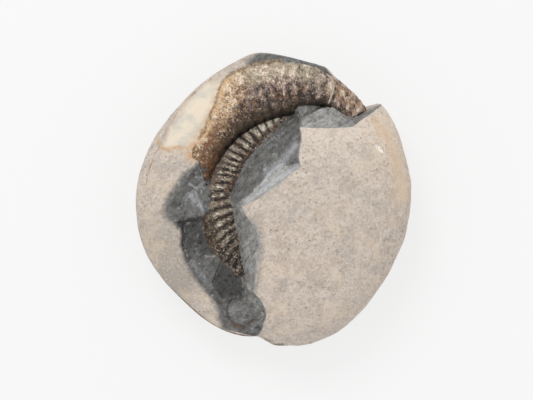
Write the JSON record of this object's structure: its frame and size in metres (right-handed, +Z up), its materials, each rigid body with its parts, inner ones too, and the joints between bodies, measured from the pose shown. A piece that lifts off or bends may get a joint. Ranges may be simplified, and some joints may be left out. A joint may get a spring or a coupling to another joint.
{
  "type": "ammonite fossil in nodule",
  "caption": "Ribbed ammonite lying in a rounded limestone nodule whose cover is partly broken away, baring arcs of the coil from above.",
  "frame": {"origin": "middle of the bounding box, at the surface the nodule lies on", "axes": "+Z up, across the flat of the coil; +Y along the nodule's longest width, towards the top of the picture; +X towards the standing cover, to the right in the picture"},
  "size_m": [0.0794, 0.0848, 0.034],
  "materials": {
    "limestone": "dry, fine-grained limestone, beige skin and grey fracture faces",
    "fossil": "brown mineralised shell, slightly lustrous on its ribs"
  },
  "bodies": {
    "root": {"nodule": "limestone", "ammonite": "fossil"}
  },
  "joints": []
}
